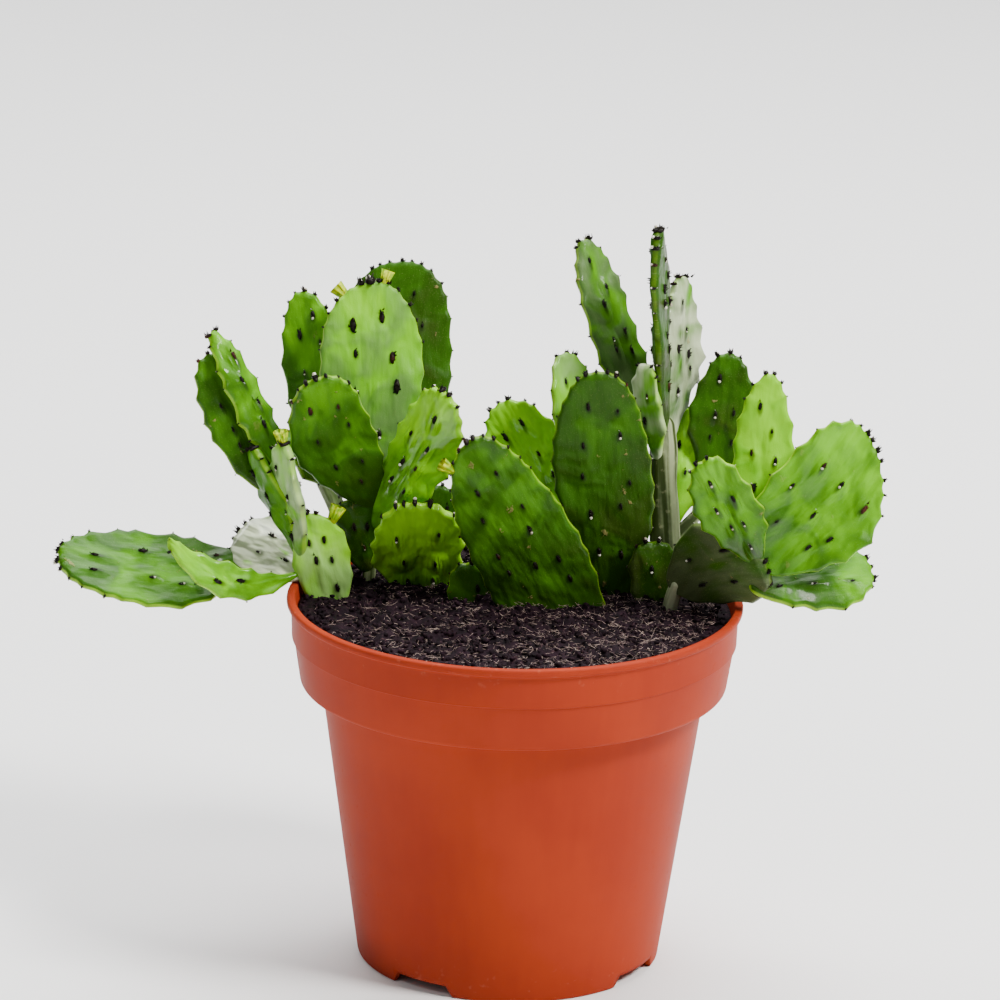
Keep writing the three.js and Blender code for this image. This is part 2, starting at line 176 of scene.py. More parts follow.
class Shade:
    """One output of a shader node. Sums on it add Math nodes, and node() adds any other node, with its
    settings, its ramp's stops and its inputs by name or number."""

    def __init__(self, tree, socket=None):
        self.tree = tree
        self.socket = socket

    def node(self, kind, inputs, output=0, stops=None, **settings):
        new = self.tree.nodes.new("ShaderNode" + kind)
        for name, value in settings.items():
            setattr(new, name, value)
        if stops:
            ramp = new.color_ramp
            while len(ramp.elements) < len(stops):
                ramp.elements.new(0.5)
            for element, (place, colour) in zip(ramp.elements, stops):
                element.position = place
                element.color = colour
        for key, value in inputs.items():
            if isinstance(value, Shade):
                self.tree.links.new(value.socket, new.inputs[key])
            else:
                new.inputs[key].default_value = value
        return Shade(self.tree, new.outputs[output])

    def sum(self, operation, *values):
        return self.node("Math", dict(enumerate(values)), operation=operation)

    def __add__(self, other):
        return self.sum("ADD", self, other)

    def __sub__(self, other):
        return self.sum("SUBTRACT", self, other)

    def __rsub__(self, other):
        return self.sum("SUBTRACT", other, self)

    def __mul__(self, other):
        return self.sum("MULTIPLY", self, other)

    __radd__ = __add__
    __rmul__ = __mul__

    def fade(self, low, high):
        """0 below low and 1 above high, smooth between them."""
        inputs = {"Value": self, "From Min": low, "From Max": high}
        return self.node("MapRange", inputs, interpolation_type="SMOOTHSTEP")

    def tint(self, first, second):
        """The first colour where this is 0 and the second where it is 1."""
        return self.node("Mix", {0: self, 6: first, 7: second}, output=2, data_type="RGBA")

    def axis(self, letter):
        return self.node("SeparateXYZ", {0: self}, output=letter)

    def stretched(self, *scale):
        return self.node("Mapping", {"Vector": self, "Scale": scale})

    def noise(self, scale, detail, **inputs):
        """Soft noise at this place, from 0 to 1. A larger scale makes it finer."""
        return self.node("TexNoise", {"Vector": self, "Scale": scale, "Detail": detail, **inputs})

    def bump(self, strength, distance):
        """The surface's normal where this is its relief."""
        return self.node("Bump", {"Height": self, "Strength": strength, "Distance": distance})


def srgb(code):
    """A colour given as a hex code, in Blender's linear light."""
    parts = [int(code[k : k + 2], 16) / 255 for k in (0, 2, 4)]
    return tuple(p / 12.92 if p <= 0.04045 else ((p + 0.055) / 1.055) ** 2.4 for p in parts) + (1,)


def finish(name, **constants):
    """A new material with constant values on the named sockets. Gives it, its maths and its shader."""
    material = bpy.data.materials.new(name)
    material.use_nodes = True
    shader = material.node_tree.nodes["Principled BSDF"]
    for key, value in constants.items():
        shader.inputs[key.replace("_", " ")].default_value = value
    return material, Shade(material.node_tree), shader


def feed(shader, **sources):
    """Links what varies over the surface to the shader's sockets."""
    for key, source in sources.items():
        source.tree.links.new(source.socket, shader.inputs[key.replace("_", " ")])


def pot_plastic():
    """Terracotta-coloured plastic with faint flow lines from its mould, a fine grain, dust and worn edges."""
    material, shade, shader = finish("pot_plastic", IOR=1.4, Specular_IOR_Level=0.06)
    place = shade.node("TexCoord", {}, output="Object")
    height = place.axis("Z")
    cloud = place.noise(22, 3)
    streak = place.stretched(240, 240, 14).noise(1, 4)
    grain = place.noise(2600, 2)
    dust = place.noise(420, 5).fade(0.62, 0.74)
    near_lip = height.fade(POT_HEIGHT - LIP_WEAR, POT_HEIGHT)
    near_foot = 1 - height.fade(0, FOOT_WEAR)
    body = (cloud * 0.8 + streak * 0.2).fade(0.3, 0.7).tint(srgb("8c2d19"), srgb("9a351c"))
    worn = (dust * (near_lip + near_foot) * 0.15).tint(body, srgb("d58a6e"))
    feed(shader, Base_Color=worn)
    feed(shader, Roughness=0.44 + cloud * 0.08 + streak * 0.06 + dust * 0.1)
    feed(shader, Normal=(grain * 0.3 + streak * 0.7).bump(0.18, 0.0002))
    return material


def make_pot():
    """The whole wall in one outline, from the floor's middle underneath to its middle inside."""
    taper = (BODY_TOP_RADIUS - BASE_RADIUS) / COLLAR_FOOT_HEIGHT
    ledge = COLLAR_FOOT_HEIGHT + POT_WALL
    floor_top = FLOOR_HEIGHT + POT_WALL
    ring_inside = BASE_RADIUS - FOOT_RING
    outline = rounded([
        (0, FLOOR_HEIGHT, 0),
        (ring_inside, FLOOR_HEIGHT, 0.0006),
        (ring_inside, 0, 0.0004),
        (BASE_RADIUS, 0, 0.0009),
        (BASE_RADIUS + taper * FOOT_BAND, FOOT_BAND, 0),
        (BODY_TOP_RADIUS, COLLAR_FOOT_HEIGHT, 0.0012),
        (COLLAR_FOOT_RADIUS, COLLAR_FOOT_HEIGHT, 0.0016),
        (COLLAR_RADIUS - COLLAR_STEP, COLLAR_STEP_HEIGHT, 0.0003),
        (COLLAR_RADIUS, COLLAR_STEP_HEIGHT + COLLAR_STEP_RISE, 0.0002),
        (COLLAR_RADIUS + COLLAR_FLARE, POT_HEIGHT - LIP_DEPTH - LIP_SLOPE, 0.0008),
        (LIP_RADIUS, POT_HEIGHT - LIP_DEPTH, 0.0007),
        (LIP_RADIUS, POT_HEIGHT, 0.0011),
        (LIP_RADIUS - LIP_WIDTH, POT_HEIGHT, 0.0008),
        (COLLAR_FOOT_RADIUS - POT_WALL, ledge, 0.001),
        (BODY_TOP_RADIUS - POT_WALL, ledge, 0.001),
        (BASE_RADIUS + taper * floor_top - POT_WALL, floor_top, 0.002),
        (0, floor_top, 0),
    ])
    return spun(outline, POT_STEPS)


def make_pot_cutters():
    """Wedges for the notches in the foot ring and plugs for the drain holes."""
    bm = bmesh.new()
    middle = Matrix.Translation(AXIS)
    for angle in NOTCH_ANGLES:
        turn = middle @ Matrix.Rotation(math.radians(angle), 4, "Z")
        wedge = bmesh.ops.create_cube(bm, size=1)["verts"]
        for corner in wedge:
            width = NOTCH_TOP_WIDTH if corner.co.z > 0 else NOTCH_WIDTH
            corner.co.x = math.copysign(width / 2, corner.co.x)
            corner.co.y = corner.co.y * NOTCH_REACH - BASE_RADIUS
            corner.co.z = NOTCH_HEIGHT if corner.co.z > 0 else -CUT_SPARE
        bmesh.ops.transform(bm, matrix=turn, verts=wedge)
        drain_spot = turn @ Matrix.Translation((0, -DRAIN_CIRCLE, FLOOR_HEIGHT))
        plug(bm, drain_spot)
    plug(bm, middle @ Matrix.Translation((0, 0, FLOOR_HEIGHT)))
    return bm


def plug(bm, spot):
    """A round plug that cuts one drain hole."""
    bmesh.ops.create_cone(
        bm, cap_ends=True, segments=DRAIN_SIDES, radius1=DRAIN_RADIUS, radius2=DRAIN_RADIUS,
        depth=CUT_DEPTH, matrix=spot,
    )


def cut(piece, cutter_bm):
    """Takes the cutter's shape out of the piece."""
    cutter = placed("cutter", as_mesh("cutter", cutter_bm))
    step = piece.modifiers.new("cut", "BOOLEAN")
    step.object = cutter
    step.solver = "EXACT"
    graph = bpy.context.evaluated_depsgraph_get()
    result = bpy.data.meshes.new_from_object(piece.evaluated_get(graph))
    piece.modifiers.clear()
    bm = bmesh.new()
    bm.from_mesh(result)
    bmesh.ops.dissolve_degenerate(bm, dist=TOUCHING, edges=bm.edges)
    bm.to_mesh(result)
    bm.free()
    piece.data = result
    bpy.data.objects.remove(cutter)


pot = made("pot_shell", make_pot(), [pot_plastic()], sharp=SHARP_ANGLE)
cut(pot, make_pot_cutters())
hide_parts("pot")


# ---- Soil ----
# Dark peat mixed with coconut coir, pressed in by hand to a few millimetres under the lip: a lumpy body with
# clods in it, loose crumbs on top, and pale coir fibres that lie every way, more of them at the right.

# The fill. Its top has the solid's low waves, and is crumbly up to a margin at the wall.
SOIL_TOP = 0.1185
SOIL_GAP = 0.0003
SOIL_RING = 0.0011
SOIL_STEPS = 260
SOIL_RELIEF = 0.0007
SOIL_WAVES = (310, 270)
SOIL_CROSS_WAVES = (130, 410)
SOIL_LEVEL_MARGIN = 0.006
CRUMBLE_HEIGHT = 0.0011
CRUMBLE_SCALE = 230

# The clods, as in the solid but with uneven outlines.
CLODS = 46
CLOD_REACH = 0.062
CLOD_RADII = (0.0034, 0.0046, 0.0028, 0.004)
CLOD_FLATNESS = 0.6
CLOD_SINK = 0.15
CLOD_UNEVENNESS = 0.0012
CLOD_UNEVENNESS_SCALE = 300

# The loose crumbs and fibres.
CRUMBS = 4200
CRUMB_KINDS = 6
CRUMB_SIZE = (0.0005, 0.0017)
CRUMB_LUMPS = (0.6, 1.15)
CRUMB_DEPTH = (0.5, 1)
CRUMB_HEIGHT = (0.4, 0.9)
CRUMB_RISE = 0.4
FIBRES = 6000
FIBRE_KINDS = 14
FIBRE_LENGTH = (0.0009, 0.0032)
FIBRE_RADIUS = 0.000055
FIBRE_THICKNESS = (0.7, 1.4)
FIBRE_BOW = (0.05, 0.45)
FIBRE_LIFT = 0.07
FIBRE_WAVES = (0.6, 1.4)
FIBRE_RISE = (0.0004, 0.0014)
FIBRE_SLANT = 0.28
FIBRE_INSET = 0.005
FIBRES_ON_LEFT = 0.2

collar_taper = (COLLAR_RADIUS - COLLAR_FOOT_RADIUS) / (POT_HEIGHT - COLLAR_FOOT_HEIGHT)
SOIL_RADIUS = COLLAR_FOOT_RADIUS + collar_taper * (SOIL_TOP - COLLAR_FOOT_HEIGHT) - POT_WALL - SOIL_GAP

GOLDEN_ANGLE = math.pi * (3 - math.sqrt(5))
clod_reaches = [CLOD_REACH * math.sqrt((k + 0.5) / CLODS) for k in range(CLODS)]
CLOD_SPOTS = [
    (reach * math.cos(k * GOLDEN_ANGLE), reach * math.sin(k * GOLDEN_ANGLE), CLOD_RADII[k % len(CLOD_RADII)])
    for k, reach in enumerate(clod_reaches)
]

# The clods' uneven outlines come from vector noise, which starts from the clock unless it has a seed.
noise.seed_set(7)


def clod_height(x, y):
    """How far a clod of peat stands up at a place, 0 between them. They lie in an even spiral."""
    rise = 0
    for clod_x, clod_y, radius in CLOD_SPOTS:
        away = math.hypot(x - clod_x, y - clod_y) / radius
        if away < 1:
            rise = max(rise, radius * (CLOD_FLATNESS * math.sqrt(1 - away * away) - CLOD_SINK))
    return rise


def soil_height(x, y):
    """The surface at a place counted from the pot's axis: waves, clods and crumbs, but level at the wall."""
    waves = math.sin(x * SOIL_WAVES[0] + 1.3) * math.cos(y * SOIL_WAVES[1])
    waves += 0.6 * math.sin(x * SOIL_CROSS_WAVES[0] - y * SOIL_CROSS_WAVES[1])
    inward = min(1, max(0, (SOIL_RADIUS - math.hypot(x, y)) / SOIL_LEVEL_MARGIN))
    crumble = noise.fractal(Vector((x, y, 0)) * CRUMBLE_SCALE, 0.7, 2.1, 4)
    shift = noise.noise_vector(Vector((x, y, 0)) * CLOD_UNEVENNESS_SCALE) * CLOD_UNEVENNESS
    clod = clod_height(x + shift.x, y + shift.y)
    return SOIL_TOP + (SOIL_RELIEF * waves + CRUMBLE_HEIGHT * crumble + clod) * inward


def make_soil():
    """The pot's fill, a hair clear of its wall, with rings on top that follow the soil's height."""
    shell = POT_WALL + SOIL_GAP
    outline = [
        Vector((0, FLOOR_HEIGHT + shell)),
        Vector((BASE_RADIUS - shell, FLOOR_HEIGHT + shell)),
        Vector((BODY_TOP_RADIUS - shell, COLLAR_FOOT_HEIGHT + shell)),
        Vector((COLLAR_FOOT_RADIUS - shell, COLLAR_FOOT_HEIGHT + shell)),
    ]
    rings = int(SOIL_RADIUS / SOIL_RING)
    outline += [Vector((SOIL_RADIUS * (1 - ring / rings), SOIL_TOP)) for ring in range(rings + 1)]
    bm = spun(outline, SOIL_STEPS)
    for vert in bm.verts:
        if vert.co.z > SOIL_TOP - TOUCHING:
            place = vert.co - AXIS
            vert.co.z = soil_height(place.x, place.y)
    return bm


def peat():
    """Moist peat: dark brown on the lumps and nearly black between them as painted shade in the hollows of
    its bump, with paler specks.
    """
    material, shade, shader = finish("peat", IOR=1.4, Specular_IOR_Level=0.15)
    place = shade.node("TexCoord", {}, output="Object")
    lumps = place.noise(260, 6, Roughness=0.7)
    specks = place.noise(900, 4)
    # Darker where the bump is low, as painted shade between the lumps.
    dark = lumps.fade(0.3, 0.72).tint(srgb("050204"), srgb("21101a"))
    flecked = (specks.fade(0.6, 0.72) * 0.75).tint(dark, srgb("4a3236"))
    feed(shader, Base_Color=flecked, Roughness=0.95 - specks * 0.3)
    feed(shader, Normal=(lumps * 0.6 + specks * 0.4).bump(0.8, 0.0012))
    return material


def coir():
    """Dry coconut fibre, from dull brown to straw."""
    material, shade, shader = finish("coir", Roughness=0.7)
    place = shade.node("TexCoord", {}, output="Object")
    tone = place.noise(500, 2)
    feed(shader, Base_Color=tone.fade(0.35, 0.65).tint(srgb("59413d"), srgb("c4aca0")))
    return material


def stamp(bm, mesh, matrix):
    """Adds a copy of a small mesh to the bmesh, placed by the matrix."""
    copy = mesh.copy()
    copy.transform(matrix)
    bm.from_mesh(copy)
    bpy.data.meshes.remove(copy)


def crumb_template(dice):
    """A small ball with its points moved in and out."""
    bm = bmesh.new()
    bmesh.ops.create_icosphere(bm, subdivisions=1, radius=1)
    for vert in bm.verts:
        vert.co *= dice.uniform(*CRUMB_LUMPS)
    return as_mesh("crumb", bm)


def fibre_template(dice):
    """A three-sided fibre, bowed to one side and waved a little up and down along its length."""
    bow, lift = dice.uniform(*FIBRE_BOW), dice.uniform(-FIBRE_LIFT, FIBRE_LIFT)
    waves = dice.uniform(*FIBRE_WAVES)
    length = dice.uniform(*FIBRE_LENGTH)
    radius = FIBRE_RADIUS * dice.uniform(*FIBRE_THICKNESS)
    bm = bmesh.new()
    bmesh.ops.create_cone(bm, cap_ends=True, segments=3, radius1=1, radius2=0.6, depth=1)
    long_edges = [edge for edge in bm.edges if abs(edge.verts[0].co.z - edge.verts[1].co.z) > 0.5]
    bmesh.ops.subdivide_edges(bm, edges=long_edges, cuts=3)
    for vert in bm.verts:
        t = vert.co.z
        vert.co.x = vert.co.x * radius + length * bow * (0.25 - t * t)
        vert.co.y = vert.co.y * radius + length * lift * math.sin(2 * math.pi * waves * t)
        vert.co.z = t * length
    return as_mesh("fibre", bm)


def any_spot(dice, inset):
    """A place on the soil, evenly spread, as a point counted from the pot's axis."""
    reach = (SOIL_RADIUS - inset) * math.sqrt(dice.random())
    angle = dice.uniform(0, 2 * math.pi)
    x, y = reach * math.cos(angle), reach * math.sin(angle)
    return Vector((x, y, soil_height(x, y)))


def any_turn(dice):
    """A turn by any angle about any axis."""
    turn = Vector((dice.gauss(0, 1), dice.gauss(0, 1), dice.gauss(0, 1))).normalized()
    return Matrix.Rotation(dice.uniform(0, 2 * math.pi), 4, turn)


def make_crumbs(dice):
    """Loose crumbs, most of them small, each stretched and turned its own way and a little sunk."""
    kinds = [crumb_template(dice) for _ in range(CRUMB_KINDS)]
    bm = bmesh.new()
    for _ in range(CRUMBS):
        size = CRUMB_SIZE[0] + (CRUMB_SIZE[1] - CRUMB_SIZE[0]) * dice.random() ** 3
        spot = any_spot(dice, size) + Vector((0, 0, size * CRUMB_RISE))
        depth, height = dice.uniform(*CRUMB_DEPTH), dice.uniform(*CRUMB_HEIGHT)
        squash = Matrix.Diagonal((size, size * depth, size * height, 1))
        stamp(bm, dice.choice(kinds), Matrix.Translation(AXIS + spot) @ any_turn(dice) @ squash)
    return bm


def make_fibres(dice):
    """Fibres that lie nearly flat, in any direction, and fewer of them towards the left."""
    kinds = [fibre_template(dice) for _ in range(FIBRE_KINDS)]
    bm = bmesh.new()
    for _ in range(FIBRES):
        spot = any_spot(dice, FIBRE_INSET) + Vector((0, 0, dice.uniform(*FIBRE_RISE)))
        rightward = 0.5 + 0.5 * spot.x / SOIL_RADIUS
        if dice.random() > FIBRES_ON_LEFT + (1 - FIBRES_ON_LEFT) * rightward:
            continue
        lie = Matrix.Rotation(dice.uniform(0, 2 * math.pi), 4, "Z")
        tip = Matrix.Rotation(math.pi / 2 + dice.gauss(0, FIBRE_SLANT), 4, "X")
        roll = Matrix.Rotation(dice.uniform(0, 2 * math.pi), 4, "Z")
        stamp(bm, dice.choice(kinds), Matrix.Translation(AXIS + spot) @ lie @ tip @ roll)
    return bm


peat_finish = peat()
soil = made("soil_body", make_soil(), [peat_finish])
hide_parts("soil")
crumbs = made("soil_crumbs", make_crumbs(random.Random(11)), [peat_finish])
fibres = made("soil_fibres", make_fibres(random.Random(12)), [coir()])


# ---- Left plant ----
# A rooted cutting: a corky stem with an old pad, and six flat pads that grew from it, two of them on a grey
# side stem. Each pad is a thin fleshy shoot with areoles, the spots that its bristles grow from, one on each
# swelling of its rim and in slanting rows over both faces.

# A pad's outline and thickness.
PAD_THICKNESS = 0.0042
PAD_NECK = 0.5
PAD_FULLNESS = 0.85
NECK_LOSS = 0.19
PAD_SINK = 0.003
RIM_ROUND = 0.0014
LEAST_ROUND = 0.00001
TIP_ROUND = 0.0022
FOOT_ROUND = 0.0016
CROWN = 0.4

# Its low waves: on the faces, on the ruffled rim and in the outline.
WAVE_HEIGHT = 0.00026
BROAD_WAVES = (170, 260)
FINE_WAVES = (320, 410)
FINE_SHARE = 0.6
RUFFLE_WAVES = 9
OUTLINE_WAVES = 8
UNEVENNESS = 0.05

# The swellings of its rim, each with an areole. A lumpier pad has larger ones.
SWELLING = 0.0021
PLAIN_SWELLING = 0.5
LUMPY_SWELLING = 0.35
MOST_SWELLING = 1.1
SWELLING_REACH = 0.0017
SWELLING_MEAN = 0.35
SWELLING_THICKNESS = 0.2
SWELLING_SHADE = 0.6
RIM_AREOLE = 0.9
RIM_TUFT_TILT = 0.5
RIM_SPACING = 0.0092
RIM_STEPS = 400
RIM_JITTER = 0.22
TIP_CROWDING = 1.8

# The areoles of its faces. Each has a halo of painted shadow, and a tubercle that stands up under it, on
# which light is painted too. Both reach further along the pad than across it, and their middle is a little
# below the areole.
LOWEST_AREOLE = 0.18
ROW_SPACING = 0.0122
ROW_SPACING_HALF = 0.0145
CLOSEST_ROWS = 0.66
ROW_JITTER = 0.2
ROW_SLANT = 0.04
AREOLE_JITTER = 0.18
RIM_CLEARANCE = 0.0032
NARROWEST_ROW = 0.001
HALO_SHADOW = (0.0018, 0.0009)
PLAIN_HALO_SHADOW = 0.7
LUMPY_HALO_SHADOW = 0.5
HALO_SHADOW_DROP = 0.0008
TUBERCLE = (0.0036, 0.0016)
TUBERCLE_HEIGHT = 0.001
TUBERCLE_DROP = 0.0014
TUBERCLE_LIGHT = 0.5
AREOLE_HEIGHT = 0.85
SLOPE_STEPS = (0.02, 0.0005)

# How many sides the ball has that a pad or stem is shaped from, by the half width that it is over.
BALL_SIDES = {0.013: 112, 0.006: 80, 0: 48}


def quarter_round(t):
    """Rises from 0 to 1 along a quarter of a circle, and stays at 1 after that."""
    return np.sqrt(np.clip(1 - (1 - np.minimum(t, 1)) ** 2, 0, 1))


class Pad:
    """One pad or stem from `base` to `tip`, as in the solids. `turn` turns its face about its own length,
    `neck` narrows its foot, `bend` bows it, `cup` lifts its sides and `sway` bows it sideways. `skew` slants
    the tip, `point` narrows it, and `wavy` ruffles the rim. `buds` are the places of buds on the rim, in
    degrees round from the foot. `age` goes from 0, fresh, to 1, old, `wax` is the pale bloom, which on the
    waxiest pads also stands in for the glare of light on them as painted reflection, and `gloss` the shine.
    `lumpy` is how far the areoles stand out and how strongly shadow and light are painted round them, and
    `tufts` the size of their bristles. A `woody` one is a stem, which may be narrower at its `top`."""

    def __init__(self, base, tip, width, turn=0, neck=PAD_NECK, thick=PAD_THICKNESS, bend=0, cup=0, sway=0,
                 buds=(), skew=0, point=0, wavy=0.0006, age=0.5, wax=0, gloss=0.15, lumpy=0.6, tufts=1,
                 woody=False, top=1):
        base, tip = (np.array(AXIS) + np.array(end) for end in (base, tip))
        self.along = (tip - base) / np.linalg.norm(tip - base)
        self.start = base - self.along * PAD_SINK
        self.end = tip + self.along * PAD_SINK * woody
        self.length = float(np.linalg.norm(self.end - self.start))
        self.half = width / 2
        self.thick = thick / 2
        self.neck = neck
        self.bows = (bend, cup, sway)
        self.skew, self.point, self.wavy = skew, point, wavy
        self.tone = (age, wax, gloss)
        self.lumpy, self.tufts, self.buds = lumpy, tufts, buds
        self.swelling = SWELLING * min(MOST_SWELLING, PLAIN_SWELLING + LUMPY_SWELLING * lumpy)
        self.woody, self.top = woody, top
        # Where its waves start, worked out from its place, so that no two pads wave alike.
        self.phase = 40 * float(base.sum() + 3 * tip.sum())
        front = np.array((0, -1, 0)) + self.along * self.along[1]
        front /= np.linalg.norm(front)
        turned = Matrix.Rotation(math.radians(turn), 3, Vector(self.along)) @ Vector(front)
        self.face = np.array(turned)
        self.side = np.cross(self.along, self.face)

    def place(self, u, across, out):
        """Points from how far along, from 0 to 1, how far across and how far out of the middle plane."""
        bend, cup, sway = self.bows
        arch = 4 * u * (1 - u)
        edge = (across / self.half) ** 2
        side_phase = self.phase + 2 * np.sign(across)
        out = out + cup * edge - bend * arch + self.wavy * edge * np.sin(RUFFLE_WAVES * u + side_phase)
        along = u * self.length + self.skew * across * u ** 2
        across = across * (1 + UNEVENNESS * np.sin(OUTLINE_WAVES * u - side_phase)) + sway * arch
        return (
            self.start + np.outer(along, self.along) + np.outer(across, self.side) + np.outer(out, self.face)
        )

    def width_at(self, u):
        """Half its width: a full oval, narrowed to the foot by its neck and to the tip by its point. A neck
        takes some width from the widest part too, and that is given back."""
        oval = (2 * np.sqrt(np.clip(u * (1 - u), 0, 1))) ** PAD_FULLNESS
        foot = (1 - self.neck * (1 - u) ** 2) / (1 - NECK_LOSS * self.neck)
        tip = 1 - self.point * u ** 3
        return self.half * oval * (foot * tip)

    def bulge(self, u, across):
        """How far the skin is out of the middle plane: crowned, round at the rim, closed at both ends."""
        width = self.width_at(u)
        level = np.abs(across) / np.maximum(width, TOUCHING)
        rim = width * (1 - level)
        edge = quarter_round(rim / np.minimum(RIM_ROUND, np.maximum(width * 0.8, LEAST_ROUND)))
        caps = quarter_round(np.minimum((1 - u) * self.length / TIP_ROUND, u * self.length / FOOT_ROUND))
        crown = 1 - CROWN + CROWN * (1 - level ** 2) * np.sin(np.pi * np.clip(u, 0.2, 0.8))
        return self.thick * edge * caps * crown

    def waves(self, along, across):
        """The low swellings and hollows of a face."""
        broad = np.sin(BROAD_WAVES[0] * along + self.phase) * np.cos(BROAD_WAVES[1] * across + 2 * self.phase)
        fine = np.sin(FINE_WAVES[0] * along + FINE_WAVES[1] * across + self.phase)
        return WAVE_HEIGHT * (broad + FINE_SHARE * fine)

    def rim_at(self, angle):
        """(u, across) of a place on the rim, `angle` round from the foot."""
        u = (1 - math.cos(angle)) / 2
        return u, float(self.width_at(np.array(u))) * math.copysign(1, math.sin(angle))

    def rim_spots(self, dice):
        """Areoles on the rim as (u, across), one at each swelling, from above the foot round the tip."""
        angle = np.linspace(-math.pi, math.pi, RIM_STEPS)
        u = (1 + np.cos(angle)) / 2
        across = self.width_at(u) * np.sign(angle)
        crowding = 1 + TIP_CROWDING * u[1:] ** 8
        strides = np.hypot(np.diff(u * self.length), np.diff(across))
        run = np.concatenate([[0], np.cumsum(strides * crowding)])
        count = max(3, int(run[-1] / RIM_SPACING))
        jitter = [dice.uniform(-RIM_JITTER, RIM_JITTER) for _ in range(count)]
        picks = (np.arange(count) + 0.5 + jitter) / count * run[-1]
        spots = np.stack([np.interp(picks, run, u), np.interp(picks, run, across)], axis=1)
        return spots[spots[:, 0] > LOWEST_AREOLE]

    def face_spots(self, dice):
        """Areoles on one face as (u, across): slanting rows, clear of the rim and the foot. Narrow pads have
        closer rows, and rows with one areole have it left and right of the middle by turns."""
        spots = []
        spacing = ROW_SPACING * min(1, max(CLOSEST_ROWS, self.half / ROW_SPACING_HALF))
        rows = max(2, round(self.length / spacing))
        for row in range(1, rows):
            turn = 1 if row % 2 else -1
            u = (row + dice.uniform(-ROW_JITTER, ROW_JITTER)) / rows
            reach = float(self.width_at(np.array(u))) - RIM_CLEARANCE
            if u < LOWEST_AREOLE or reach < NARROWEST_ROW:
                continue
            count = max(1, round(2 * reach / spacing + 0.2))
            shift = 0.5 if count > 1 else 0.5 + 0.25 * turn
            for k in range(count):
                jitter = dice.uniform(-AREOLE_JITTER, AREOLE_JITTER)
                across = (2 * (k + shift + jitter) / count - 1) * reach
                spots.append((u + ROW_SLANT * (across / self.half) * turn, across))
        return np.array(spots).reshape(-1, 2)


def nearness(along, across, spots, length, reach, sharp=2):
    """How near each point is to the nearest of the spots, from 0 far off to 1 on one of them. The reach is
    how far that goes along the pad and across it. It peaks roundly, or to a point where sharp is 1."""
    near = np.zeros_like(along)
    for u, spot_across in spots:
        gap = np.hypot((along - u * length) / reach[0], (across - spot_across) / reach[1])
        near = np.maximum(near, np.exp(-gap ** sharp / 2))
    return near


def from_ball(ball):
    """How far up each point of a ball is, from 0 at its lower pole to 1, and its angle round the ball."""
    polar = np.arccos(np.clip(-ball[:, 2], -1, 1))
    return (1 - np.cos(polar)) / 2, np.arctan2(ball[:, 1], ball[:, 0])


def shape_pad(pad, ball, dice):
    """Moves the points of a ball, whose poles are the foot and the tip, to the pad's surface. Gives the
    places, the figures that its skin is coloured by, and its areoles."""
    u, around = from_ball(ball)
    width = pad.width_at(u)
    across = width * np.cos(around)
    way = np.sign(np.sin(around))
    along = u * pad.length
    out = pad.bulge(u, across)
    rim = np.minimum(width - np.abs(across), np.minimum(1 - u, u) * pad.length)
    rim_spots = pad.rim_spots(dice)
    faces = {1: pad.face_spots(dice), -1: pad.face_spots(dice)}
    swell = nearness(along, across, rim_spots, pad.length, (SWELLING_REACH, SWELLING_REACH), sharp=1)
    halo_shadow_reach = (HALO_SHADOW[0] * (PLAIN_HALO_SHADOW + LUMPY_HALO_SHADOW * pad.lumpy), HALO_SHADOW[1])
    halo_shadow, tubercle = (
        np.where(
            way > 0,
            nearness(along + drop, across, faces[1], pad.length, reach),
            nearness(along + drop, across, faces[-1], pad.length, reach),
        )
        for drop, reach in ((HALO_SHADOW_DROP * pad.lumpy, halo_shadow_reach), (TUBERCLE_DROP, TUBERCLE))
    )
    from_middle = np.stack([along - 0.5 * pad.length, across * pad.length / (2 * pad.half)], axis=1)
    from_middle /= np.maximum(np.linalg.norm(from_middle, axis=1, keepdims=True), TOUCHING)
    shove = (swell - SWELLING_MEAN) * pad.swelling * np.minimum(1, 3 * u)
    body = np.clip(out / pad.thick, 0, 1)
    relief = TUBERCLE_HEIGHT * pad.lumpy * tubercle + pad.waves(along, across)
    points = pad.place(
        u + shove * from_middle[:, 0] / pad.length,
        across + shove * from_middle[:, 1],
        way * (out * (1 + SWELLING_THICKNESS * swell) + relief * body),
    )
    # Above 0 where shadow is painted, in the hollow round an areole and on the rim's swellings, and below 0
    # where light is painted, on the tubercle round it.
    lit = TUBERCLE_LIGHT * pad.lumpy * np.clip(tubercle - halo_shadow, 0, 1)
    hollow = np.maximum(halo_shadow, swell * SWELLING_SHADE) - lit
    skin = {
        "pad_place": np.stack([along, across, np.full_like(u, pad.phase)], axis=1),
        "pad_edge": np.stack([u, rim * 1000, hollow], axis=1),
        "pad_tone": np.tile(pad.tone, (len(u), 1)),
    }
    return points, skin, areoles(pad, rim_spots, faces)


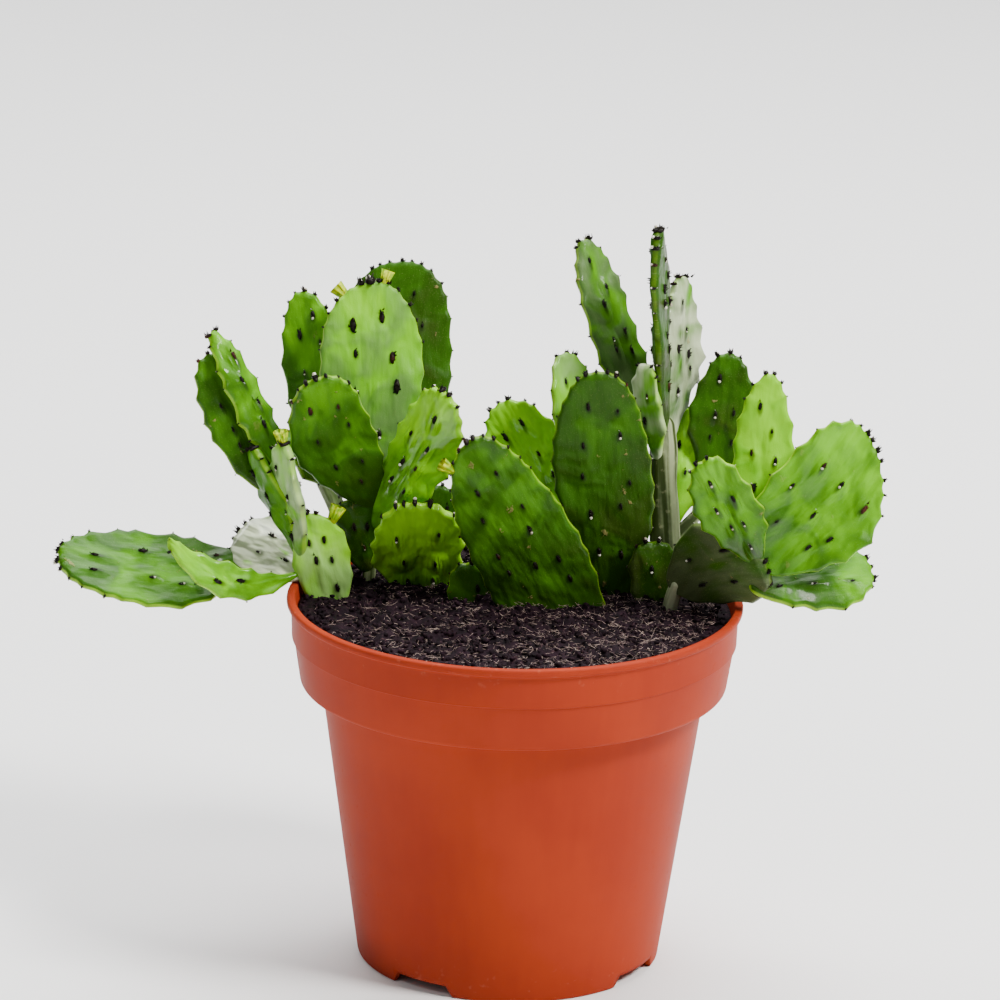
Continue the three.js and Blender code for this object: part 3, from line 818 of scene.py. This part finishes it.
def areoles(pad, rim_spots, faces):
    """Each areole as (point, way out, way up, whether it is on the rim, how far up the pad)."""
    found = []
    for way, spots in faces.items():
        for u, across in spots:
            u_near = np.array([u, u + SLOPE_STEPS[0], u])
            across_near = np.array([across, across, across + SLOPE_STEPS[1]])
            out = pad.bulge(u_near, across_near) + pad.waves(u_near * pad.length, across_near)
            out += TUBERCLE_HEIGHT * pad.lumpy * AREOLE_HEIGHT
            here, above, beside = (Vector(point) for point in pad.place(u_near, across_near, way * out))
            up = (above - here).normalized()
            normal = (beside - here).cross(up).normalized()
            if normal.dot(Vector(pad.face) * way) < 0:
                normal.negate()
            found.append((here, normal, up, False, u))
    for u, across in rim_spots:
        here = pad.place(np.array([u]), np.array([across]), np.zeros(1))[0]
        out = way_out(pad, u, across)
        foot = Vector(here) + out * pad.swelling * (RIM_AREOLE - SWELLING_MEAN)
        tilted = (out + Vector(pad.along) * RIM_TUFT_TILT).normalized()
        found.append((foot, tilted, Vector(pad.face), True, u))
    return found


def way_out(pad, u, across):
    """Which way the rim faces at a place on it: away from the pad's middle, as on an oval."""
    heading = Vector(((u - 0.5) * pad.length * 0.9, across * pad.length / (2 * pad.half), 0)).normalized()
    return Vector(pad.along) * heading.x + Vector(pad.side) * heading.y


STEM_END_ROUND = 0.7
STEM_FOLDS = 3
STEM_FOLD_DEPTH = 0.08
STEM_RIDGES = 8
STEM_RIDGE_DEPTH = 0.03
STEM_KNOTS = 330
STEM_KNOT_DEPTH = 0.04


def shape_stem(stem, ball, dice):
    """Moves the points of a ball to an oval woody stem with folds and ridges that wind a little up it, and
    knots along it. Gives the places, the figures that its bark is coloured by, and no areoles."""
    u, around = from_ball(ball)
    caps = quarter_round(np.minimum(u, 1 - u) * stem.length / (stem.half * STEM_END_ROUND))
    seed = dice.uniform(0, 6)
    folds = STEM_FOLD_DEPTH * np.sin(STEM_FOLDS * around + 1.4 * u + seed)
    ridges = STEM_RIDGE_DEPTH * np.sin(STEM_RIDGES * around - 3 * u)
    knots = 1 + STEM_KNOT_DEPTH * np.sin(u * stem.length * STEM_KNOTS + seed)
    reach = caps * (1 + folds + ridges) * knots * (1 + (stem.top - 1) * u)
    across = stem.half * reach * np.cos(around)
    out = stem.thick * reach * np.sin(around)
    skin = {
        "pad_place": np.stack([u * stem.length, around * stem.half, np.full_like(u, seed)], axis=1),
        # The third figure, the cosine round the stem, is the side that the bark is painted lighter on, as
        # painted light.
        "pad_edge": np.stack([u, np.sin(around), np.cos(around)], axis=1),
        "pad_tone": np.tile(stem.tone, (len(u), 1)),
    }
    return stem.place(u, across, out), skin, []


def ball_template(sides):
    """A ball of radius 1 with its poles at the ends of Z."""
    bm = bmesh.new()
    bmesh.ops.create_uvsphere(bm, u_segments=sides, v_segments=sides, radius=1)
    return as_mesh("ball", bm)


BALLS = {half: ball_template(sides) for half, sides in BALL_SIDES.items()}


def make_skin(pads, dice):
    """All the plant's pads and stems in one bmesh, and their areoles with the size of their tufts."""
    bm = bmesh.new()
    found = []
    for pad in pads:
        mesh = next(ball for half, ball in BALLS.items() if pad.half > half).copy()
        ball = np.empty(len(mesh.vertices) * 3)
        mesh.vertices.foreach_get("co", ball)
        shape = shape_stem if pad.woody else shape_pad
        points, skin, spots = shape(pad, ball.reshape(-1, 3), dice)
        mesh.vertices.foreach_set("co", points.ravel())
        for name, vectors in skin.items():
            mesh.attributes.new(name, "FLOAT_VECTOR", "POINT").data.foreach_set("vector", vectors.ravel())
        mesh.polygons.foreach_set("material_index", np.full(len(mesh.polygons), int(pad.woody)))
        bm.from_mesh(mesh)
        bpy.data.meshes.remove(mesh)
        found += [(spot, pad.tufts) for spot in spots]
    bmesh.ops.recalc_face_normals(bm, faces=bm.faces)
    return bm, found


def figures(shade, name):
    """A vector that shape_pad and shape_stem keep on every point."""
    return shade.node("Attribute", {}, output="Vector", attribute_name=name)


def cactus_skin():
    """Waxy green skin: from bright to dark olive as it ages, and darker towards the foot and lighter towards
    the tip, partly as fresher growth and partly as painted light from above. It has a rim that is pale partly
    of its own and partly as painted light on the edge, a milky bloom where it is waxy, which on the waxiest
    pads also stands in for their glare as painted reflection, painted shadow round the areoles and painted
    light on their tubercles, fine pores, and corky scars on old pads."""
    material, shade, shader = finish("cactus_skin", IOR=1.4, Specular_IOR_Level=0.16, Coat_Roughness=0.1)
    place, edge, tone = (figures(shade, name) for name in ("pad_place", "pad_edge", "pad_tone"))
    height, rim, hollow = (edge.axis(letter) for letter in "XYZ")
    age, wax, gloss = (tone.axis(letter) for letter in "XYZ")
    patch = place.noise(70, 2, Distortion=0.6)
    streak = place.stretched(50, 330, 1).noise(1, 3)
    dents = place.stretched(105, 215, 1).noise(1, 1.5)
    pores = place.noise(2400, 2)
    marks = place.noise(210, 4, Roughness=0.6)
    # Fresher growth towards the tip and older towards the foot, with painted light from above on top of it:
    # lighter at the tip and darker at the foot.
    tip_fresh_and_lit = (0.25 - height) * (1.25 - age) * 0.6
    # The tubercles are painted lighter as painted light on their raised sides, and the same mask raises them
    # in the bump.
    raised_and_lit = (0 - hollow).fade(0.05, 0.6)
    age_and_shade = age + patch.fade(0.32, 0.68) * 0.36 + (streak - 0.5) * 0.1 + tip_fresh_and_lit - raised_and_lit * 0.28
    green = shade.node("ValToRGB", {0: age_and_shade * 0.8}, stops=[
        (0.0, srgb("84cb00")),
        (0.18, srgb("6ab200")),
        (0.4, srgb("4a8500")),
        (0.6, srgb("2e5c00")),
        (0.8, srgb("284c02")),
        (1.0, srgb("334214")),
    ])
    # A pale rim all round, partly the pad's own lighter margin and partly painted light caught by the edge.
    pale_and_lit_rim = (1 - rim.fade(0.05, 0.45)) * (1 - age.fade(0.6, 0.95) * 0.8) * 0.6
    green = pale_and_lit_rim.tint(green, srgb("9ccc20"))
    # A milky bloom where the pad is waxy, which on the waxiest pads is laid on so thickly that it also stands
    # in for the glare of light on them, as painted reflection.
    green = (wax * (patch * 0.75 + streak * 0.25).fade(0.36, 0.62)).tint(green, srgb("c6d0ac"))
    # Painted shadow round each areole and on the rim's swellings, over the skin's own green.
    green = (hollow.fade(0.15, 0.9) * 0.7).tint(green, srgb("142404"))
    scars = marks.fade(0.66, 0.72) * age.fade(0.35, 0.8) * 0.8
    green = scars.tint(green, srgb("8a7d4a"))
    speckle = pores.fade(0.58, 0.72) * (0.02 + age * 0.07)
    feed(shader, Base_Color=speckle.tint(green, srgb("c4d08c")))
    feed(shader, Roughness=0.36 + patch * 0.14 + scars * 0.3)
    feed(shader, Coat_Weight=gloss * (0.2 + patch.fade(0.4, 0.6) * 0.8))
    relief = pores * 0.04 + patch * 1.2 + dents * (0.4 + gloss * 4.5) + streak * 0.25 + scars * 0.3
    relief = relief + raised_and_lit * (0.2 + gloss * 2.4)
    feed(shader, Normal=relief.bump(0.7, 0.002))
    return material


def stem_bark():
    """Grey-green bark, painted dark in its folds and pale on its ridges as shade and highlight, and lighter
    on one side as painted light, with pale corky specks, and waxy on the younger stems.
    """
    material, shade, shader = finish("stem_bark", IOR=1.4, Specular_IOR_Level=0.3)
    place, edge, tone = (figures(shade, name) for name in ("pad_place", "pad_edge", "pad_tone"))
    lit_side = edge.axis("Z")
    wax = tone.axis("Y")
    fold = place.stretched(22, 330, 1).noise(1, 2)
    cork = place.noise(420, 4)
    # Dark in the folds and pale on the ridges of its bump as painted shade and highlight, and lighter on one
    # side as painted light.
    colour = (fold * 0.9 + cork * 0.1 + lit_side * 0.12).fade(0.45, 0.7).tint(srgb("2b390b"), srgb("9aa27c"))
    colour = (wax * fold.fade(0.25, 0.6)).tint(colour, srgb("cfd8ae"))
    feed(shader, Base_Color=(cork.fade(0.6, 0.7) * 0.2).tint(colour, srgb("c3bd94")))
    feed(shader, Roughness=0.42 + cork * 0.3)
    feed(shader, Normal=(fold + cork * 0.25).bump(0.5, 0.001))
    return material


def spine_brown():
    """The nearly black brown of cushions and bristles, redder in places."""
    material, shade, shader = finish("spine_brown", Roughness=0.55, Specular_IOR_Level=0.15)
    place = shade.node("TexCoord", {}, output="Object")
    tone = place.noise(90, 4)
    feed(shader, Base_Color=tone.fade(0.56, 0.76).tint(srgb("120b06"), srgb("4e2416")))
    return material


def wool_white():
    """The dry wool of an areole, off-white with a little dust."""
    material, shade, shader = finish("wool_white", Roughness=0.8)
    place = shade.node("TexCoord", {}, output="Object")
    tone = place.noise(900, 3)
    feed(shader, Base_Color=tone.fade(0.3, 0.7).tint(srgb("8d8468"), srgb("f1efdf")))
    return material


TUFT_KINDS = 9
TUFTS_PER_WOOL = 3
TUFT_CUSHION = (0.00055, 0.0013, 0.00042)
TUFT_WOOL = 0.00042
TUFT_SIZES = (0.7, 1.5)
SIDE_TUFT = 0.5
TIP_TUFT = 1.4
BARE_RIM = 0.3
BRISTLES = 12
BRISTLE_LENGTH = (0.0004, 0.0011)
BRISTLE_RADIUS = 0.0002
BRISTLE_TIP = 0.00003

# The middle and the spread of how far the bristles lean up and aside, and of where their feet are.
LEAN_UP = (-0.5, 0.35)
LEAN_ASIDE = (0, 0.3)
FEET_ASIDE = (0, 0.00025)
FEET_UP = (0.0001, 0.0005)
WOOL_ASIDE = (0, 0.0001)
WOOL_PLACE = 0.6


def tuft_template(dice, woolly):
    """An areole that looks along +Z with its upper end towards +Y: a dark oval cushion with fine barbed
    bristles out of it, and on some a bead of white wool at the lower end."""
    bm = bmesh.new()
    cushion = Matrix.Diagonal((*TUFT_CUSHION, 1))
    bmesh.ops.create_icosphere(bm, subdivisions=1, radius=1, matrix=cushion)
    for _ in range(BRISTLES):
        length = dice.uniform(*BRISTLE_LENGTH)
        lean = Matrix.Rotation(dice.gauss(*LEAN_UP), 4, "X")
        lean = lean @ Matrix.Rotation(dice.gauss(*LEAN_ASIDE), 4, "Y")
        foot = Matrix.Translation((dice.gauss(*FEET_ASIDE), dice.gauss(*FEET_UP), 0))
        stand = Matrix.Translation((0, 0, length / 2))
        bmesh.ops.create_cone(
            bm, cap_ends=True, segments=3, radius1=BRISTLE_RADIUS, radius2=BRISTLE_TIP, depth=length,
            matrix=foot @ lean @ stand,
        )
    dark = len(bm.faces)
    if woolly:
        low_end = (dice.gauss(*WOOL_ASIDE), -TUFT_CUSHION[1] * WOOL_PLACE, TUFT_WOOL * WOOL_PLACE)
        bead = Matrix.Translation(low_end)
        bmesh.ops.create_icosphere(bm, subdivisions=1, radius=TUFT_WOOL, matrix=bead)
        bm.faces.ensure_lookup_table()
        for face in bm.faces[dark:]:
            face.material_index = 1
    return as_mesh("tuft", bm)


tuft_dice = random.Random(5)
TUFTS = [tuft_template(tuft_dice, k % TUFTS_PER_WOOL == 0) for k in range(TUFT_KINDS)]


def make_tufts(found, dice):
    """A tuft on each areole. Some on the rim are bare, and the rim's are small but for those at the tip."""
    bm = bmesh.new()
    for (spot, out, up, on_rim, u), size in found:
        up = (up - out * up.dot(out)).normalized()
        side = up.cross(out)
        turn = Matrix((side, up, out)).transposed().to_4x4()
        if on_rim:
            at_tip = u ** 10
            if dice.random() < BARE_RIM * (1 - at_tip):
                continue
            size *= SIDE_TUFT + (TIP_TUFT - SIDE_TUFT) * at_tip
        size *= dice.uniform(*TUFT_SIZES)
        stamp(bm, dice.choice(TUFTS), Matrix.Translation(spot) @ turn @ Matrix.Scale(size, 4))
    return bm


def bud_green():
    """The yellow-green of a young bud."""
    material, shade, shader = finish("bud_green", Roughness=0.4, Specular_IOR_Level=0.1)
    place = shade.node("TexCoord", {}, output="Object")
    tone = place.noise(600, 2)
    feed(shader, Base_Color=tone.fade(0.35, 0.65).tint(srgb("6f9a02"), srgb("b8c408")))
    return material


BUD_WIDTH = 0.005
BUD_FOOT = 0.0022
BUD_LENGTH = 0.0062
BUD_SINK = 0.0012
BUD_SIZES = (0.85, 1.15)
BUD_SCALES = 7
SCALE_HEIGHT = 0.16
SCALE_SPREAD = 0.12
MOUTH_RIM = 0.2
MOUTH_DEPTH = 0.35


def bud_template():
    """A bud that looks along +Z: a ribbed funnel, hollow at the top, with pointed scales round its mouth."""
    bm = bmesh.new()
    bmesh.ops.create_cone(
        bm, cap_ends=True, segments=BUD_SCALES * 4, radius1=BUD_FOOT / 2, radius2=BUD_WIDTH / 2,
        depth=BUD_LENGTH, matrix=Matrix.Translation((0, 0, BUD_LENGTH / 2 - BUD_SINK)),
    )
    mouth = max(bm.faces, key=lambda face: face.calc_center_median().z)
    rim = list(mouth.verts)
    bmesh.ops.inset_region(bm, faces=[mouth], thickness=BUD_WIDTH * MOUTH_RIM)
    bmesh.ops.translate(bm, verts=mouth.verts, vec=(0, 0, -BUD_LENGTH * MOUTH_DEPTH))
    for vert in rim:
        scale = math.cos(math.atan2(vert.co.y, vert.co.x) * BUD_SCALES)
        vert.co.z += BUD_LENGTH * SCALE_HEIGHT * scale
        vert.co.x *= 1 + SCALE_SPREAD * scale
        vert.co.y *= 1 + SCALE_SPREAD * scale
    return as_mesh("bud", bm)


BUD = bud_template()


def make_buds(pads, dice):
    """The plant's buds, each on its pad's rim and looking straight out from it."""
    bm = bmesh.new()
    for pad in pads:
        for degrees in pad.buds:
            u, across = pad.rim_at(math.radians(degrees))
            spot = Vector(pad.place(np.array([u]), np.array([across]), np.zeros(1))[0])
            turn = way_out(pad, u, across).to_track_quat("Z", "Y").to_matrix().to_4x4()
            stamp(bm, BUD, Matrix.Translation(spot) @ turn @ Matrix.Scale(dice.uniform(*BUD_SIZES), 4))
    return bm


TUFT_CLEARANCE = 0.0015

skin_finishes = [cactus_skin(), stem_bark()]
bud_finish = bud_green()
tuft_finishes = [spine_brown(), wool_white()]


def grow(node, pads, seed):
    """The plant's skin, which replaces its solid, the tufts on its areoles above the soil, and its buds."""
    dice = random.Random(seed)
    bm, found = make_skin(pads, dice)
    skin = made(node + "_skin", bm, skin_finishes)
    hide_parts(node)
    clear = [(spot, size) for spot, size in found if spot[0].z > SOIL_TOP + TUFT_CLEARANCE]
    tufts = made(node + "_tufts", make_tufts(clear, dice), tuft_finishes)
    if any(pad.buds for pad in pads):
        buds = made(node + "_buds", make_buds(pads, dice), [bud_finish])


def stem(base, tip, width, depth=None, **traits):
    """A woody stem, round unless its depth differs from its width."""
    return Pad(base, tip, width, thick=depth or width, neck=0, wavy=0, woody=True, **traits)


grow("left_plant", [
    stem((-0.049, 0.029, 0.092), (-0.049, 0.029, 0.125), 0.0046),
    stem((-0.054, 0.031, 0.128), (-0.064, 0.038, 0.15), 0.006, wax=0.8),
    Pad((-0.05, 0.029, 0.124), (-0.053, 0.028, 0.147), 0.017, thick=0.006, age=0.82),
    Pad((-0.048, 0.027, 0.147), (-0.066, 0.008, 0.1935), 0.0268, turn=8, sway=-0.003, cup=0.001, skew=-0.15,
        age=0.7, lumpy=0.4),
    Pad((-0.05, 0.031, 0.146), (-0.0505, 0.048, 0.2155), 0.034, turn=12, bend=-0.002, buds=[168], skew=0.15,
        age=0.42, wax=0.1, lumpy=0.2, tufts=1.6),
    Pad((-0.045, 0.034, 0.144), (-0.042, 0.062, 0.219), 0.042, turn=5, bend=0.002, buds=[222], skew=0.15,
        age=0.88, gloss=0.05, lumpy=0.4),
    Pad((-0.064, 0.038, 0.149), (-0.072, 0.058, 0.209), 0.019, turn=-5, cup=0.001, skew=-0.3, age=0.56),
    Pad((-0.046, 0.026, 0.14), (-0.0245, 0.012, 0.188), 0.022, turn=-25, sway=0.002, cup=-0.0015, wavy=0.001,
        age=0.18, gloss=0.8, lumpy=1.9),
    Pad((-0.064, 0.038, 0.15), (-0.077, 0.03, 0.167), 0.012, turn=60, age=0.8),
], seed=1)


# ---- Front left plant ----
# A young light-green pad at the rim of the pot that carries four upright pads and, over the rim, a broad
# waxy pad, a narrow twisted one and the long pad that reaches furthest to the left.

grow("front_left_plant", [
    stem((-0.054, 0.01, 0.094), (-0.061, 0.011, 0.117), 0.0042),
    Pad((-0.0602, 0.009, 0.116), (-0.0675, 0.012, 0.146), 0.019, turn=8, neck=0.3, buds=[150], skew=-0.3,
        age=0.05, wax=0.25, lumpy=0.2),
    Pad((-0.071, 0.01, 0.134), (-0.077, 0.007, 0.171), 0.014, turn=-50, cup=0.002, buds=[180], age=0.3,
        wax=0.45, gloss=0.4, lumpy=1.2),
    Pad((-0.072, 0.011, 0.134), (-0.087, 0.014, 0.167), 0.013, turn=-60, wavy=0.001, age=0.5, lumpy=1.3,
        tufts=1.1),
    Pad((-0.079, 0.017, 0.161), (-0.1015, 0.03, 0.202), 0.013, turn=42, bend=-0.0015, point=0.4, age=0.5,
        gloss=0.3, lumpy=1.8),
    Pad((-0.084, 0.017, 0.155), (-0.103, 0.03, 0.194), 0.02, turn=20, point=0.25, age=0.72, lumpy=1.3),
    # The broad waxy pad's bloom is laid on three times over, nearly white, as painted glare from the light
    # above it.
    Pad((-0.067, 0.013, 0.127), (-0.092, 0.025, 0.135), 0.025, turn=50, age=0.1, wax=3, gloss=1, lumpy=0.3),
    Pad((-0.0715, 0.0115, 0.128), (-0.113, -0.01, 0.142), 0.011, turn=30, sway=-0.0095, cup=0.0015,
        neck=0.8, point=0.3, wavy=0.0012, age=0.28, gloss=0.3, lumpy=1.2),
    Pad((-0.089, 0.017, 0.127), (-0.1495, -0.001, 0.133), 0.031, turn=55, sway=-0.0045, cup=0.0015,
        point=0.2, wavy=0.001, age=0.64, gloss=0.15, lumpy=1),
], seed=2)


# ---- Round plant ----
# A low rooted pad, nearly round and tipped towards the light, with two small shaded pads behind it.

grow("round_plant", [
    stem((-0.032, 0.028, 0.094), (-0.032, 0.028, 0.118), 0.005),
    Pad((-0.032, 0.028, 0.115), (-0.033, 0.009, 0.151), 0.03, neck=0.3, cup=0.001, age=0.0, gloss=0.4,
        lumpy=1.7),
    Pad((-0.03, 0.031, 0.118), (-0.025, 0.036, 0.149), 0.015, age=0.9),
    Pad((-0.034, 0.031, 0.116), (-0.043, 0.036, 0.132), 0.011, age=0.8),
], seed=3)


# ---- Single pads in the middle ----
# Two cuttings set straight in the soil: a small one, and a large dark one that leans to the left and is sunk
# by a third of its length.

grow("small_pad", [
    Pad((-0.014, 0.0095, 0.104), (-0.016, 0.009, 0.131), 0.014, age=0.7),
], seed=4)

grow("leaning_pad", [
    Pad((0.026, 0.01, 0.092), (-0.0165, -0.008, 0.1775), 0.0345, neck=-0.1, cup=-0.001, buds=[205], skew=0.3,
        age=0.75, lumpy=0.4),
], seed=5)


# ---- Middle plant ----
# A tall dark upright pad, with a bright pad and a narrow curled one that grew from its back.

grow("middle_plant", [
    stem((0.033, 0.022, 0.092), (0.033, 0.022, 0.118), 0.006),
    Pad((0.033, 0.022, 0.114), (0.025, 0.01, 0.197), 0.0315, bend=-0.0015, age=0.8, gloss=0.05, lumpy=0.3),
    Pad((0.024, 0.022, 0.13), (-0.006, 0.036, 0.178), 0.024, cup=0.002, bend=0.002, buds=[230], wavy=0.0012,
        age=0.02, gloss=0.5, lumpy=1.5),
    Pad((0.019, 0.017, 0.162), (0.015, 0.032, 0.197), 0.016, turn=35, cup=0.002, age=0.35, wax=0.2),
], seed=6)


# ---- Right plant ----
# The oldest cutting: a rooted pad and a grey woody stem with the tall pads on it, and on a short stub of its
# own the old dark pad over the rim at the right, with the young pads that grew from it.

grow("right_plant", [
    stem((0.046, 0.013, 0.092), (0.046, 0.013, 0.118), 0.005),
    stem((0.0493, 0.017, 0.13), (0.0472, 0.032, 0.174), 0.011, depth=0.0065, top=0.75),
    stem((0.05, 0.02, 0.135), (0.068, 0.032, 0.152), 0.004),
    stem((0.048, 0.013, 0.104), (0.053, 0.004, 0.127), 0.005, wax=0.8),
    Pad((0.0465, 0.0115, 0.115), (0.0455, 0.0132, 0.1385), 0.017, thick=0.0045, age=0.95),
    Pad((0.046, 0.027, 0.165), (0.041, 0.021, 0.197), 0.01, turn=-30, cup=0.002, age=0.45, wax=1, gloss=0.4,
        lumpy=1.2),
    Pad((0.0455, 0.033, 0.17), (0.0205, 0.048, 0.2315), 0.0185, turn=38, sway=-0.0025, cup=0.0015,
        skew=-0.3, point=0.25, wavy=0.001, age=0.68, wax=0.1, lumpy=1.4),
    Pad((0.048, 0.032, 0.173), (0.044, 0.022, 0.242), 0.02, turn=80, age=0.95, tufts=1.15),
    Pad((0.05, 0.034, 0.17), (0.053, 0.05, 0.219), 0.018, turn=45, cup=0.0025, point=0.3, wavy=0.001,
        age=0.65, wax=0.75, gloss=0.4, lumpy=1.5),
    Pad((0.05, 0.023, 0.14), (0.057, 0.044, 0.176), 0.016, age=0.0),
    Pad((0.066, 0.031, 0.15), (0.069, 0.04, 0.196), 0.0225, cup=0.001, point=0.3, age=0.86, lumpy=0.8),
    Pad((0.053, 0.004, 0.128), (0.081, -0.013, 0.141), 0.03, thick=0.006, sway=-0.003, age=1.05, wax=0.07,
        lumpy=0),
    Pad((0.078, -0.012, 0.142), (0.06, -0.018, 0.176), 0.019, cup=0.0015, age=0.62, gloss=0.5, lumpy=1.6),
    Pad((0.079, -0.012, 0.142), (0.1145, -0.002, 0.1785), 0.0385, neck=0.25, sway=0.0015, cup=0.004,
        skew=-0.3, wavy=0.0015, age=0.5, gloss=0.4, lumpy=1.2),
    Pad((0.079, -0.01, 0.132), (0.116, 0.005, 0.134), 0.024, turn=-50, cup=-0.0015, wavy=0.001, age=0.62,
        gloss=0.1, lumpy=1),
    Pad((0.077, -0.007, 0.141), (0.0815, 0.008, 0.198), 0.0205, bend=0.0015, point=0.35, age=0.15, gloss=0.1,
        lumpy=1),
], seed=7)


# ---- Studio ----
# A white floor and room with four soft lights: a wide one overhead and behind for the pads' broad sheen, a
# key high at the front right, a small one at the front left for highlights, and a weak fill from the left.

FLOOR_SIZE = 8
AIM_HEIGHT = 0.13
ROOM_LIGHT = 0.14


def floor_white():
    material, shade, shader = finish("floor_white", Roughness=0.9)
    place = shade.node("TexCoord", {}, output="Object")
    cloud = place.noise(2, 2)
    feed(shader, Base_Color=cloud.tint((0.86, 0.86, 0.86, 1), (0.9, 0.9, 0.9, 1)))
    return material


def soft_light(name, place, size, power, colour):
    """A rectangular light that looks at the soil. Its power is in watts."""
    light = bpy.data.lights.new(name, "AREA")
    light.shape = "RECTANGLE"
    light.size, light.size_y = size
    light.energy = power
    light.color = colour
    lamp = placed(name, light)
    aim = AXIS + Vector((0, 0, AIM_HEIGHT)) - Vector(place)
    lamp.matrix_world = Matrix.Translation(place) @ aim.to_track_quat("-Z", "Y").to_matrix().to_4x4()


bm = bmesh.new()
bmesh.ops.create_grid(bm, x_segments=2, y_segments=2, size=FLOOR_SIZE / 2)
floor_mesh = as_mesh("floor", bm)
floor_mesh.materials.append(floor_white())
floor = placed("floor", floor_mesh)

soft_light("overhead", (0.1, 0.8, 2.0), (2.0, 1.6), 112, (1, 1, 1))
soft_light("key", (1.5, -0.8, 1.9), (0.6, 0.6), 98, (1, 0.98, 0.94))
soft_light("front", (-0.5, -1.4, 1.7), (0.6, 0.35), 6.5, (1, 1, 1))
soft_light("fill", (-1.3, -1.2, 0.9), (0.9, 0.9), 2, (0.96, 0.98, 1))

world = bpy.data.worlds.new("room")
world.use_nodes = True
world.node_tree.nodes["Background"].inputs["Color"].default_value = (1, 1, 1, 1)
world.node_tree.nodes["Background"].inputs["Strength"].default_value = ROOM_LIGHT
bpy.context.scene.world = world
